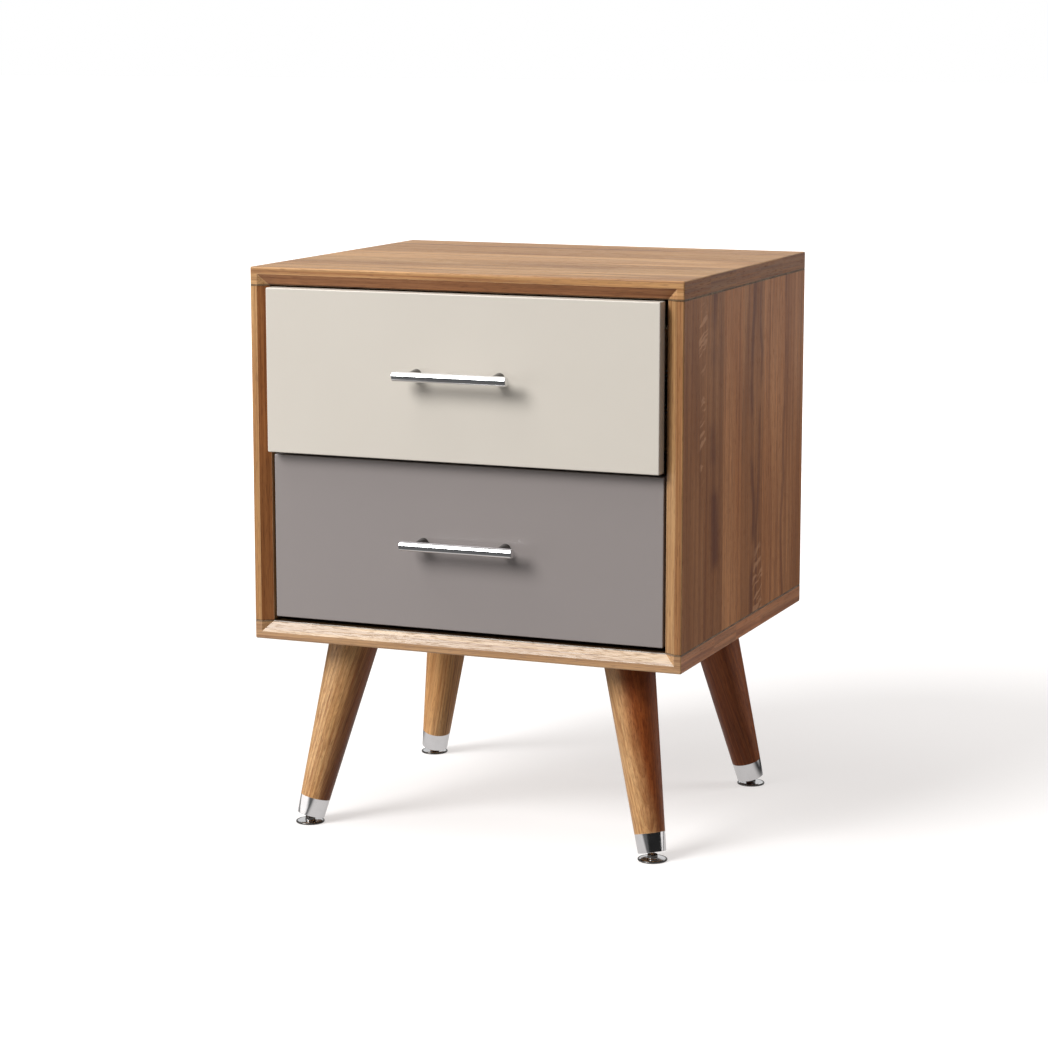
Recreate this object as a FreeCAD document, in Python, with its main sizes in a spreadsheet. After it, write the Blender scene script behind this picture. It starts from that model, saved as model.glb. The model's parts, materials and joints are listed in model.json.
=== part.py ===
import FreeCAD, Part
import Sketcher
import os

# A nightstand: a wooden case with two drawers, on four turned, splayed legs.
# Millimetres, +Z up, the front faces -Y, and +X is on the right of someone facing the drawers.
# The origin is on the floor, in the middle of the whole object's footprint box, handles included.

DIMENSIONS = {
    # case
    "width": 500,
    "depth": 430,
    "height": 413,
    "board": 20,
    "lift": 217,
    "edge_strip": 8,
    "bevel_depth": 7,
    "arris": 1.6,
    "joint_groove": 0.6,
    "back_board": 6,
    "rabbet": 8,
    "dowel_radius": 4,
    "dowel_length": 28,
    "dowel_in_face": 13,
    "dowel_margin": 55,
    "nail_radius": 1.5,
    "nail_length": 18,
    "nail_head_radius": 3,
    # drawer fronts
    "front_board": 16,
    "front_arris": 1.2,
    "side_gap": 3,
    "top_gap": 1.5,
    "bottom_gap": 5,
    "upper_height": 180,
    "lower_height": 182,
    "recess": 7,
    "opened": 16,
    # drawer boxes
    "box_board": 12,
    "box_depth": 380,
    "box_height": 130,
    "box_rise": 18,
    "floor_board": 6,
    "groove_depth": 6,
    "groove_rise": 10,
    "floor_slack": 0.3,
    "screw_radius": 2,
    "screw_head_radius": 4,
    "screw_head_height": 2.4,
    "front_screw_length": 23,
    "front_screw_spread": 150,
    "front_screw_height": 22,
    # drawer slides
    "slide_thickness": 12.7,
    "slide_length": 350,
    "slide_rise": 83,
    "slide_setback": 4,
    "gauge": 1.2,
    "case_member_half": 22.5,
    "case_member_flange": 9.5,
    "middle_member_half": 17.6,
    "middle_member_gap": 3.0,
    "middle_member_flange": 8.0,
    "drawer_member_half": 13.0,
    "drawer_member_flange": 7.7,
    "ball_radius": 1.6,
    "ball_pitch": 16,
    "ball_line": 7.3,
    "cage_gauge": 0.6,
    "cage_half": 60,
    "cage_offset": 95,
    "slide_screw_length": 10,
    "slide_screw_head": 3.4,
    "slide_screw_head_height": 1.4,
    "slide_screw_margin": 40,
    # handles
    "bar_radius": 5.3,
    "bar_length": 131,
    "bar_chamfer": 0.7,
    "hole_spacing": 96,
    "bar_reach": 23,
    "post_radius": 4,
    "post_foot_radius": 6.2,
    "handle_rise": 3,
    "screw_in_post": 12,
    # legs
    "foot_x": 206.5,
    "foot_y": 175,
    "splay": 15,
    "heading": 41,
    "foot_radius": 15,
    "hip_radius": 28.5,
    "ferrule_start": 9,
    "ferrule_length": 21,
    "ferrule_wall": 1,
    "ferrule_ease": 0.3,
    "shank_recess": 4,
    "hanger_radius": 4,
    "hanger_in_leg": 38,
    "insert_radius": 6,
    "insert_length": 13,
    "insert_sink": 2.5,
    # glides
    "glide_radius": 16.2,
    "glide_rim": 2.2,
    "glide_socket_radius": 6,
    "glide_ease": 0.5,
    "glide_dome_radius": 14.4,
    "glide_dome": 2.9,
    "glide_height": 6.9,
    "pivot_height": 5.4,
    "pivot_radius": 3.4,
    "pivot_clearance": 0.06,
    "stem_radius": 2,
    "stem_top": 34,
}

doc = FreeCAD.newDocument("nightstand")
dim = doc.addObject("Spreadsheet::Sheet", "dim")
for row, (alias, value) in enumerate(DIMENSIONS.items(), start=1):
    dim.set(f"A{row}", alias)
    dim.set(f"B{row}", str(value))
    dim.setAlias(f"B{row}", alias)
doc.recompute()

# Places worked out from the sheet, as expressions.
OPENING = "(dim.width - 2 * dim.board)"
HALF_OPENING = f"({OPENING} / 2)"
OVERHANG = "(dim.opened - dim.recess + dim.bar_reach + dim.bar_radius)"
CASE_FRONT = f"(-(dim.depth + {OVERHANG}) / 2 + {OVERHANG})"
SHUT = f"({CASE_FRONT} + dim.recess)"
LOWER_BASE = "(dim.lift + dim.board + dim.bottom_gap)"
UPPER_BASE = "(dim.lift + dim.height - dim.board - dim.top_gap - dim.upper_height)"
FRONT_WIDTH = f"({OPENING} - 2 * dim.side_gap)"
BOX_WIDTH = f"({OPENING} - 2 * dim.slide_thickness)"
BOX_INSIDE = f"({BOX_WIDTH} - 2 * dim.box_board)"
CASE_ORIGIN = ("0", CASE_FRONT, "dim.lift")
DOWEL_ROWS = [
    "dim.dowel_margin",
    "dim.depth / 2",
    "dim.depth - dim.dowel_margin",
]
SLIDE_SCREW_ROWS = [
    "dim.slide_screw_margin",
    "dim.slide_length / 2",
    "dim.slide_length - dim.slide_screw_margin",
]
DRAWERS = {
    "upper": {"base": UPPER_BASE, "height": "dim.upper_height", "open": "dim.opened"},
    "lower": {"base": LOWER_BASE, "height": "dim.lower_height", "open": "0"},
}
SIDES = {"left": -1, "right": 1}
CORNERS = {
    "front_left": (-1, -1),
    "front_right": (1, -1),
    "back_left": (-1, 1),
    "back_right": (1, 1),
}
# The case's own frame starts at its underside's front edge, in the middle.
JOINTS = ("dim.board", "dim.height - dim.board")
DOWEL_IN_END = "(dim.dowel_length - dim.dowel_in_face)"
DOWEL_LOWS_IN_SIDE = ("dim.board", f"dim.height - dim.board - {DOWEL_IN_END}")
LOW_NAIL = "(dim.board - dim.rabbet / 2)"
NAIL_HEIGHTS = (LOW_NAIL, f"(dim.height - {LOW_NAIL})")
NAIL_HEAD_HEIGHT = "(dim.nail_head_radius - dim.nail_radius)"
BACK_BOARD = (
    (f"-{HALF_OPENING} - dim.rabbet", "dim.depth - dim.back_board", "dim.board - dim.rabbet"),
    (f"{OPENING} + 2 * dim.rabbet", "dim.back_board", "dim.height - 2 * (dim.board - dim.rabbet)"),
)
STEPS = (-1, 0, 1)
SLIDE_START = "(dim.recess + dim.front_board + dim.slide_setback)"
SLIDE_SCREW_IN_WOOD = "(dim.slide_screw_length - dim.gauge)"
RAIL_FACE = "(dim.slide_thickness - dim.gauge)"
BALLS_EACH_WAY = 3
# The drawer's own frame starts at the middle of the front board's lower edge, on its back face.
BOX_FLOOR_LOW = "(dim.box_board - dim.groove_depth)"
BOX_FLOOR_SPACE = (
    (f"-{BOX_INSIDE} / 2 - dim.groove_depth", BOX_FLOOR_LOW, "dim.box_rise + dim.groove_rise"),
    (f"{BOX_INSIDE} + 2 * dim.groove_depth", f"dim.box_depth - 2 * {BOX_FLOOR_LOW}", "dim.floor_board"),
)
FLOOR_INSET = "(dim.groove_depth - dim.floor_slack)"
FLOOR_LOW_X = f"-{BOX_INSIDE} / 2 - {FLOOR_INSET}"
FLOOR_LOW_Y = f"(dim.box_board - {FLOOR_INSET})"
BOX_FLOOR = (
    (FLOOR_LOW_X, FLOOR_LOW_Y, "dim.box_rise + dim.groove_rise"),
    (f"{BOX_INSIDE} + 2 * {FLOOR_INSET}", f"dim.box_depth - 2 * {FLOOR_LOW_Y}", "dim.floor_board"),
)
HANDLE_SCREW_LENGTH = "dim.box_board + dim.front_board + dim.screw_in_post"
PIVOT_REACH = "(dim.pivot_height / cos(dim.splay))"
TOUCHING = 1e-4
ALONG_X = ("0", "90", "0")
ALONG_Y = ("0", "0", "-90")
UPRIGHT = ("0", "0", "0")

# Each leg stands in a frame of its own: the origin is where its axis meets the floor, Z is the axis.
LEG_LENGTH = "(dim.lift / cos(dim.splay))"
CASE_MIDDLE = f"({CASE_FRONT} + dim.depth / 2)"
OUTWARD = {
    "front_left": "180 + dim.heading",
    "front_right": "-dim.heading",
    "back_left": "180 - dim.heading",
    "back_right": "dim.heading",
}
FERRULE_TOP = "(dim.ferrule_start + dim.ferrule_length)"
SHANK_BOTTOM = "(dim.ferrule_start + dim.shank_recess)"

kept = []


# ---- shared helpers ----------------------------------------------------------------------------------

def bind(item, **expressions):
    """Binds properties of a document object to expressions over the sheet."""
    for name, expression in expressions.items():
        item.setExpression(name, expression)
    return item


def place(item, at=("0", "0", "0"), turn=UPRIGHT):
    """Places an object: at is a point and turn is yaw, pitch and roll in degrees, all as expressions."""
    point = "; ".join(at)
    angles = "; ".join(turn)
    item.setExpression("Placement", f"placement(vector({point}); rotation({angles}))")
    return item


def new_body(label, at=("0", "0", "0"), turn=UPRIGHT):
    """A PartDesign body that is one kept sub-part."""
    body = doc.addObject("PartDesign::Body", label)
    body.Label = label
    place(body, at, turn)
    kept.append(body)
    return body


def block(body, low, size, cut=False):
    """Adds or cuts a box with its lowest corner at low."""
    box = body.newObject(f"PartDesign::{'Subtractive' if cut else 'Additive'}Box", "Box")
    bind(box, Length=size[0], Width=size[1], Height=size[2])
    place(box, low)
    return box


def rod(body, at, turn, radius, length, cut=False):
    """Adds or cuts a cylinder that starts at a point."""
    cylinder = body.newObject(f"PartDesign::{'Subtractive' if cut else 'Additive'}Cylinder", "Rod")
    bind(cylinder, Radius=radius, Height=length)
    place(cylinder, at, turn)
    return cylinder


def drill(body, at, turn, radius, depth):
    """Cuts a round hole."""
    return rod(body, at, turn, radius, depth, cut=True)


def ease(body, kind, size, choose):
    """Rounds (Fillet) or chamfers the edges of the body so far for which choose(edge) is true."""
    doc.recompute()
    base = body.Tip
    names = [f"Edge{i}" for i, edge in enumerate(base.Shape.Edges, start=1) if choose(edge)]
    feature = body.newObject(f"PartDesign::{kind}", kind)
    feature.Base = (base, names)
    feature.setExpression("Radius" if kind == "Fillet" else "Size", size)
    body.Tip = feature
    return feature


def lathe(body, points, cut=False):
    """Turns a closed outline of (radius, height) expressions about the body's Z axis."""
    sketch = body.newObject("Sketcher::SketchObject", "Outline")
    plane = [p for p in body.Origin.OriginFeatures if p.Role == "XZ_Plane"][0]
    sketch.AttachmentSupport = [(plane, "")]
    sketch.MapMode = "FlatFace"
    values = [(dim.evalExpression(r), dim.evalExpression(z)) for r, z in points]
    for start, end in zip(values, values[1:] + values[:1]):
        sketch.addGeometry(
            Part.LineSegment(FreeCAD.Vector(*start, 0), FreeCAD.Vector(*end, 0)), False
        )
    count = len(points)
    for i in range(count):
        sketch.addConstraint(Sketcher.Constraint("Coincident", i, 2, (i + 1) % count, 1))
    for i, (radius, height) in enumerate(points):
        for kind, expression, value in (("X", radius, values[i][0]), ("Y", height, values[i][1])):
            index = sketch.addConstraint(
                Sketcher.Constraint(f"Distance{kind}", -1, 1, i, 1, value)
            )
            sketch.setExpression(f"Constraints[{index}]", expression)
    turned = body.newObject("PartDesign::Groove" if cut else "PartDesign::Revolution", "Turned")
    turned.Profile = sketch
    turned.ReferenceAxis = (sketch, ["V_Axis"])
    turned.Angle = 360
    return turned


def pin(radius, length, at=("0", "0", "0"), turn=UPRIGHT):
    """A plain cylinder for a boolean or a group."""
    return place(bind(doc.addObject("Part::Cylinder", "Pin"), Radius=radius, Height=length), at, turn)


def boolean(kind, base, tool):
    """Part::Cut or Part::Fuse of two objects."""
    result = doc.addObject(f"Part::{kind}", kind)
    result.Base = base
    result.Tool = tool
    return result


def screw(at, turn, radius, length, head_radius, head_height):
    """A pan-head screw whose head rests on the surface at a point, and whose shank points along turn."""
    head = pin(head_radius, head_height, ("0", "0", f"-{head_height}"))
    return place(boolean("Fuse", pin(radius, length), head), at, turn)


def group(label, items, at=("0", "0", "0"), turn=UPRIGHT):
    """One kept sub-part that holds several identical separate pieces."""
    compound = doc.addObject("Part::Compound", label)
    compound.Label = label
    compound.Links = items
    place(compound, at, turn)
    kept.append(compound)
    return compound


# ---- case --------------------------------------------------------------------------------------------

def near(value, expression):
    """True where a coordinate lies on the plane that an expression gives."""
    return abs(value - dim.evalExpression(expression)) < TOUCHING


def between(planes):
    """Chooses straight edges that lie on two of the given (axis, place) planes."""
    def choose(edge):
        shared = [
            all(near(getattr(vertex, axis), at) for vertex in edge.Vertexes) for axis, at in planes
        ]
        return len(edge.Vertexes) == 2 and sum(shared) >= 2
    return choose


def cut_front_bevel(body):
    """The inner bevel round the case's front, cut through all four boards like a picture frame."""
    wedge = body.newObject("PartDesign::SubtractiveWedge", "Bevel")
    bind(
        wedge,
        Xmin="dim.edge_strip - dim.width / 2",
        Xmax="dim.width / 2 - dim.edge_strip",
        Zmin="dim.edge_strip",
        Zmax="dim.height - dim.edge_strip",
        Ymin="0",
        Ymax="dim.bevel_depth",
        X2min=f"-{HALF_OPENING}",
        X2max=HALF_OPENING,
        Z2min="dim.board",
        Z2max="dim.height - dim.board",
    )


def cut_back_rabbet(body):
    """The step at the rear edges that the back board lies in."""
    block(body, *BACK_BOARD, cut=True)


def cut_joint_line(body, sign, z):
    """The fine groove where a side meets the top or bottom board."""
    start = (f"{sign} * dim.width / 2", "-1", z)
    drill(body, start, ALONG_Y, "dim.joint_groove", "dim.depth + 2")


def drill_for_nail(body, x, z):
    """A hole in a board's rear shoulder for one of the back board's screws."""
    drill(body, (x, "dim.depth - dim.nail_length", z), ALONG_Y, "dim.nail_radius", "dim.nail_length")


def flat_board(label, low, outer_face, joint_face, dowel_low, nail_height):
    """The top or bottom board, which covers the ends of the sides."""
    body = new_body(label, CASE_ORIGIN)
    block(body, ("-dim.width / 2", "0", low), ("dim.width", "dim.depth", "dim.board"))
    cut_front_bevel(body)
    cut_back_rabbet(body)
    ends = [("X", "dim.width / 2"), ("X", "-dim.width / 2")]
    outside = [("Z", outer_face), ("Y", "0"), ("Y", "dim.depth")] + ends
    ease(body, "Fillet", "dim.arris", between(outside))
    for sign in SIDES.values():
        cut_joint_line(body, sign, joint_face)
        for y in DOWEL_ROWS:
            drill(body, (dowel_x(sign), y, dowel_low), UPRIGHT, "dim.dowel_radius", "dim.dowel_in_face")
    for step in STEPS:
        drill_for_nail(body, f"{step} * dim.width / 4", nail_height)
    return body


def side_board(side, sign):
    """A side board between the top and bottom boards."""
    body = new_body(f"{side}_side_board", CASE_ORIGIN)
    outer = f"{sign} * dim.width / 2"
    low_x = f"{outer} - dim.board * {(sign + 1) // 2}"
    block(body, (low_x, "0", "dim.board"), ("dim.board", "dim.depth", "dim.height - 2 * dim.board"))
    cut_front_bevel(body)
    cut_back_rabbet(body)
    ease(body, "Fillet", "dim.arris", between([("X", outer), ("Y", "0"), ("Y", "dim.depth")]))
    for z in JOINTS:
        cut_joint_line(body, sign, z)
    for y in DOWEL_ROWS:
        for z in DOWEL_LOWS_IN_SIDE:
            drill(body, (dowel_x(sign), y, z), UPRIGHT, "dim.dowel_radius", DOWEL_IN_END)
    for drawer in DRAWERS.values():
        for y in SLIDE_SCREW_ROWS:
            at = (f"{sign} * {HALF_OPENING}", f"{SLIDE_START} + {y}", slide_height(drawer))
            drill(body, at, ("0", f"{sign} * 90", "0"), "dim.screw_radius", SLIDE_SCREW_IN_WOOD)
    for step in STEPS:
        drill_for_nail(body, nail_x(sign), f"dim.height / 2 + {step} * dim.height / 4")
    return body


def dowel_x(sign):
    """The middle of a side board's thickness."""
    return f"{sign} * (dim.width - dim.board) / 2"


def nail_x(sign):
    """The middle of a side board's rear shoulder."""
    return f"{sign} * ({HALF_OPENING} + dim.rabbet / 2)"


def slide_height(drawer):
    """The middle of a drawer's slides, above the case's underside."""
    return f"{drawer['base']} + dim.slide_rise - dim.lift"


def case_boards():
    """The top, the bottom with its four slanted holes for the legs, and the sides."""
    flat_board("top_board", "dim.height - dim.board", "dim.height", JOINTS[1], JOINTS[1], NAIL_HEIGHTS[1])
    dowel_low = "dim.board - dim.dowel_in_face"
    bottom = flat_board("bottom_board", "0", "0", JOINTS[0], dowel_low, NAIL_HEIGHTS[0])
    for corner in CORNERS:
        x, y, z = leg_point(corner, f"({LEG_LENGTH} - dim.insert_radius)")
        drill(
            bottom,
            (x, f"{y} - {CASE_FRONT}", f"{z} - dim.lift"),
            leg_turn(corner),
            "dim.insert_radius",
            "dim.insert_radius + dim.insert_sink + dim.insert_length",
        )
    for side, sign in SIDES.items():
        side_board(side, sign)


def case_dowels():
    """Glued dowels between the sides and the top and bottom."""
    lows = ["dim.board - dim.dowel_in_face", f"dim.height - dim.board - {DOWEL_IN_END}"]
    dowels = [
        pin("dim.dowel_radius", "dim.dowel_length", (dowel_x(sign), y, z))
        for sign in SIDES.values()
        for y in DOWEL_ROWS
        for z in lows
    ]
    group("case_dowels", dowels, CASE_ORIGIN)


def nail_places():
    """Where the back board's screws go, as x and z in the case's frame."""
    level = [(f"{step} * dim.width / 4", z) for step in STEPS for z in NAIL_HEIGHTS]
    upright = [
        (nail_x(sign), f"dim.height / 2 + {step} * dim.height / 4")
        for step in STEPS
        for sign in SIDES.values()
    ]
    return level + upright


def back_board():
    """The thin board let into the rear, and its countersunk screws."""
    body = new_body("back_board", CASE_ORIGIN)
    block(body, *BACK_BOARD)
    screws = []
    for x, z in nail_places():
        start = (x, "dim.depth - dim.nail_length", z)
        drill(body, start, ALONG_Y, "dim.nail_radius", "dim.nail_length")
        sink = body.newObject("PartDesign::SubtractiveCone", "Sink")
        bind(sink, Radius1="dim.nail_radius", Radius2="dim.nail_head_radius", Height=NAIL_HEAD_HEIGHT)
        place(sink, (x, f"dim.depth - {NAIL_HEAD_HEIGHT}", z), ALONG_Y)
        head = bind(
            doc.addObject("Part::Cone", "Head"),
            Radius1="dim.nail_radius",
            Radius2="dim.nail_head_radius",
            Height=NAIL_HEAD_HEIGHT,
        )
        place(head, ("0", "0", f"dim.nail_length - {NAIL_HEAD_HEIGHT}"))
        shank = pin("dim.nail_radius", "dim.nail_length")
        screws.append(place(boolean("Fuse", shank, head), start, ALONG_Y))
    group("back_board_screws", screws, CASE_ORIGIN)


# ---- legs and glides ---------------------------------------------------------------------------------

def leg_turn(corner):
    """The turn of a leg's frame: its axis leans inward going up."""
    return (OUTWARD[corner], "-dim.splay", "0")


def leg_point(corner, reach):
    """The point on a leg's axis at a distance from where the axis meets the floor."""
    sign_x, sign_y = CORNERS[corner]
    lean = f"{reach} * sin(dim.splay)"
    return (
        f"{sign_x} * (dim.foot_x - {lean} * cos(dim.heading))",
        f"({CASE_MIDDLE} + {sign_y} * (dim.foot_y - {lean} * sin(dim.heading)))",
        f"{reach} * cos(dim.splay)",
    )


def leg_radius(reach):
    """The leg's radius at a distance along its axis from the floor."""
    return f"(dim.foot_radius + (dim.hip_radius - dim.foot_radius) * {reach} / {LEG_LENGTH})"


def leg(corner):
    """A turned, tapered leg with a thinner shank in the ferrule. Its top is cut level with the case."""
    body = new_body(f"leg_{corner}", leg_point(corner, "0"), leg_turn(corner))
    over_length = f"({LEG_LENGTH} + dim.hip_radius)"
    outline = [
        ("0", SHANK_BOTTOM),
        (f"{leg_radius(SHANK_BOTTOM)} - dim.ferrule_wall", SHANK_BOTTOM),
        (f"{leg_radius(FERRULE_TOP)} - dim.ferrule_wall", FERRULE_TOP),
        (leg_radius(FERRULE_TOP), FERRULE_TOP),
        (leg_radius(over_length), over_length),
        ("0", over_length),
    ]
    lathe(body, outline)
    slant = ("0", "dim.splay", "0")
    drill(body, ("0", "0", LEG_LENGTH), slant, "3 * dim.hip_radius", "2 * dim.hip_radius")
    drill(body, ("0", "0", "0"), UPRIGHT, "dim.stem_radius", "dim.stem_top")
    bolt_hole = ("0", "0", f"{LEG_LENGTH} - dim.hanger_in_leg")
    drill(body, bolt_hole, UPRIGHT, "dim.hanger_radius", "2 * dim.hanger_in_leg")


def ferrule(corner):
    """The metal sleeve round the leg's shank, open underneath."""
    body = new_body(f"ferrule_{corner}", leg_point(corner, "0"), leg_turn(corner))
    outline = [
        (f"{leg_radius('dim.ferrule_start')} - dim.ferrule_wall", "dim.ferrule_start"),
        (leg_radius("dim.ferrule_start"), "dim.ferrule_start"),
        (leg_radius(FERRULE_TOP), FERRULE_TOP),
        (f"{leg_radius(FERRULE_TOP)} - dim.ferrule_wall", FERRULE_TOP),
    ]
    lathe(body, outline)
    lower_rim = leg_radius("dim.ferrule_start")
    ease(body, "Fillet", "dim.ferrule_ease", lambda e: near(e.BoundBox.XMax, lower_rim))


def leg_fastenings():
    """The hanger bolts at the legs' tops, the threaded inserts they screw into, and the glides' stems."""
    bolts = []
    inserts = []
    stems = []
    sunk = f"({LEG_LENGTH} + dim.insert_sink)"
    bolt_low = f"({LEG_LENGTH} - dim.hanger_in_leg)"
    bolt_length = "dim.hanger_in_leg + dim.insert_sink + dim.insert_length"
    for corner in CORNERS:
        foot = leg_point(corner, "0")
        turn = leg_turn(corner)
        bolts.append(pin("dim.hanger_radius", bolt_length, leg_point(corner, bolt_low), turn))
        outside = pin("dim.insert_radius", "dim.insert_length")
        inside = pin("dim.hanger_radius", "dim.insert_length")
        inserts.append(place(boolean("Cut", outside, inside), leg_point(corner, sunk), turn))
        ball = bind(doc.addObject("Part::Sphere", "Ball"), Radius="dim.pivot_radius")
        place(ball, ("0", "0", PIVOT_REACH))
        stem = pin("dim.stem_radius", f"dim.stem_top - {PIVOT_REACH}", ("0", "0", PIVOT_REACH))
        stems.append(place(boolean("Fuse", stem, ball), foot, turn))
    group("leg_hanger_bolts", bolts)
    group("leg_inserts", inserts)
    group("glide_stems", stems)


def glide(corner):
    """A round foot that lies flat on the floor and tilts on the stem's ball."""
    x, y, _ = leg_point(corner, PIVOT_REACH)
    body = new_body(f"glide_{corner}", (x, y, "0"))
    outline = [
        ("0", "0"),
        ("dim.glide_radius - dim.glide_ease", "0"),
        ("dim.glide_radius", "dim.glide_ease"),
        ("dim.glide_radius", "dim.glide_rim - dim.glide_ease"),
        ("dim.glide_radius - dim.glide_ease", "dim.glide_rim"),
        ("dim.glide_dome_radius", "dim.glide_rim"),
        ("dim.glide_socket_radius", "dim.glide_dome"),
        ("dim.glide_socket_radius", "dim.glide_height"),
        ("0", "dim.glide_height"),
    ]
    lathe(body, outline)
    cavity = body.newObject("PartDesign::SubtractiveSphere", "Socket")
    bind(cavity, Radius="dim.pivot_radius + dim.pivot_clearance")
    place(cavity, ("0", "0", "dim.pivot_height"))


# ---- drawer slides -----------------------------------------------------------------------------------

def slide_frame(drawer, sign, moved):
    """The frame of a slide member, with X inward from the side. moved is how far it has come out."""
    start = f"{CASE_FRONT} + {SLIDE_START} - {moved}"
    turn = UPRIGHT if sign < 0 else ("0", "180", "0")
    return (f"{sign} * {HALF_OPENING}", start, f"{drawer['base']} + dim.slide_rise"), turn


def channel(label, frame, low, width, half, web_low):
    """A folded steel channel along Y. web_low is where its hollow starts."""
    body = new_body(label, *frame)
    block(body, (low, "0", f"-{half}"), (width, "dim.slide_length", f"2 * {half}"))
    hollow = f"({half} - dim.gauge)"
    block(
        body,
        (web_low, "0", f"-{hollow}"),
        (f"{width} - dim.gauge", "dim.slide_length", f"2 * {hollow}"),
        cut=True,
    )
    return body


def slide(name, drawer, side, sign):
    """A telescopic slide: the member on the case, the one between, and the one on the drawer."""
    out = drawer["open"]
    case_member = channel(
        f"{name}_{side}_case_rail",
        slide_frame(drawer, sign, "0"),
        "0",
        "dim.case_member_flange",
        "dim.case_member_half",
        "dim.gauge",
    )
    middle_low = "dim.middle_member_gap"
    channel(
        f"{name}_{side}_middle_rail",
        slide_frame(drawer, sign, f"{out} / 2"),
        middle_low,
        "dim.middle_member_flange",
        "dim.middle_member_half",
        f"{middle_low} + dim.gauge",
    )
    drawer_low = "(dim.slide_thickness - dim.drawer_member_flange)"
    drawer_member = channel(
        f"{name}_{side}_drawer_rail",
        slide_frame(drawer, sign, out),
        drawer_low,
        "dim.drawer_member_flange",
        "dim.drawer_member_half",
        drawer_low,
    )
    for y in SLIDE_SCREW_ROWS:
        drill(case_member, ("0", y, "0"), ("0", "90", "0"), "dim.screw_radius", "dim.gauge")
        drill(drawer_member, (RAIL_FACE, y, "0"), ("0", "90", "0"), "dim.screw_radius", "dim.gauge")


def rail_screws(name, drawer):
    """The screws that fix the slides to the drawer."""
    screws = []
    for sign in SIDES.values():
        (x, y, z), _ = slide_frame(drawer, sign, drawer["open"])
        for row in SLIDE_SCREW_ROWS:
            at = (f"{x} - {sign} * {RAIL_FACE}", f"{y} + {row}", z)
            screws.append(slide_screw(at, ("0", f"{-sign} * 90", "0")))
    group(f"{name}_drawer_rail_screws", screws)


def case_rail_screws():
    """The screws that fix the slides to the case's sides."""
    screws = []
    for drawer in DRAWERS.values():
        for sign in SIDES.values():
            (x, y, z), _ = slide_frame(drawer, sign, "0")
            for row in SLIDE_SCREW_ROWS:
                at = (f"{x} - {sign} * dim.gauge", f"{y} + {row}", z)
                screws.append(slide_screw(at, ("0", f"{sign} * 90", "0")))
    group("case_rail_screws", screws)


def slide_screw(at, turn):
    """A short low-headed screw through a slide member's web."""
    head = ("dim.slide_screw_head", "dim.slide_screw_head_height")
    return screw(at, turn, "dim.screw_radius", "dim.slide_screw_length", *head)


def ball_row(y, z):
    """A row of balls in their cage strip."""
    strip = bind(
        doc.addObject("Part::Box", "Strip"),
        Length="dim.ball_radius",
        Width="2 * dim.cage_half",
        Height="dim.cage_gauge",
    )
    low_x = "dim.ball_line - dim.ball_radius / 2"
    place(strip, (low_x, f"{y} - dim.cage_half", f"{z} - dim.cage_gauge / 2"))
    balls = []
    for step in range(-BALLS_EACH_WAY, BALLS_EACH_WAY + 1):
        ball = bind(doc.addObject("Part::Sphere", "Ball"), Radius="dim.ball_radius")
        balls.append(place(ball, ("dim.ball_line", f"{y} + {step} * dim.ball_pitch", z)))
    row_of_balls = doc.addObject("Part::MultiFuse", "BallRow")
    row_of_balls.Shapes = [strip] + balls
    return row_of_balls


def ball_cages(name, drawer):
    """Ball rows above and below the middle members, some in the case rail and some in the drawer rail."""
    outer_line = "(dim.case_member_half - dim.gauge + dim.middle_member_half) / 2"
    inner_line = "(dim.middle_member_half - dim.gauge + dim.drawer_member_half) / 2"
    middle = "dim.slide_length / 2"
    rows = []
    for sign in SIDES.values():
        for level in (-1, 1):
            rows.append((sign, f"({middle} + dim.cage_offset)", f"{level} * {outer_line}"))
            rows.append((sign, f"({middle} - dim.cage_offset)", f"{level} * {inner_line}"))
    cages = []
    for sign, y, z in rows:
        holder = doc.addObject("Part::Compound", "Cage")
        holder.Links = [ball_row(y, z)]
        cages.append(place(holder, *slide_frame(drawer, sign, f"{drawer['open']} / 2")))
    group(f"{name}_ball_cages", cages)


# ---- drawers -----------------------------------------------------------------------------------------

def drawer_frame(drawer):
    """The frame of a drawer's pieces: the middle of its front board's lower edge, on the back face."""
    return ("0", f"{SHUT} + dim.front_board - {drawer['open']}", drawer["base"])


def handle_height(drawer):
    """The handle's height above the front board's lower edge."""
    return f"({drawer['height']} / 2 + dim.handle_rise)"


def front_screw_places():
    """Where the front board is screwed to the drawer box, as x and z."""
    low = "dim.box_rise + dim.front_screw_height"
    high = "dim.box_rise + dim.box_height - dim.front_screw_height"
    return [(f"{sign} * dim.front_screw_spread", z) for sign in SIDES.values() for z in (low, high)]


def handle_xs():
    """The handle's two fixing points."""
    return [f"{sign} * dim.hole_spacing / 2" for sign in SIDES.values()]


def drawer_front(name, drawer):
    """The lacquered front board."""
    body = new_body(f"{name}_front", drawer_frame(drawer))
    low = (f"-{FRONT_WIDTH} / 2", "-dim.front_board", "0")
    block(body, low, (FRONT_WIDTH, "dim.front_board", drawer["height"]))
    ease(body, "Fillet", "dim.front_arris", lambda edge: True)
    for x in handle_xs():
        start = (x, "-dim.front_board", handle_height(drawer))
        drill(body, start, ALONG_Y, "dim.screw_radius", "dim.front_board")
    pilot = "(dim.front_screw_length - dim.box_board)"
    for x, z in front_screw_places():
        drill(body, (x, f"-{pilot}", z), ALONG_Y, "dim.screw_radius", pilot)


def box_wall(label, drawer, low, size):
    """A wall of a drawer box, with the groove that holds the box's floor."""
    body = new_body(label, drawer_frame(drawer))
    block(body, low, size)
    block(body, *BOX_FLOOR_SPACE, cut=True)
    return body


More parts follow.
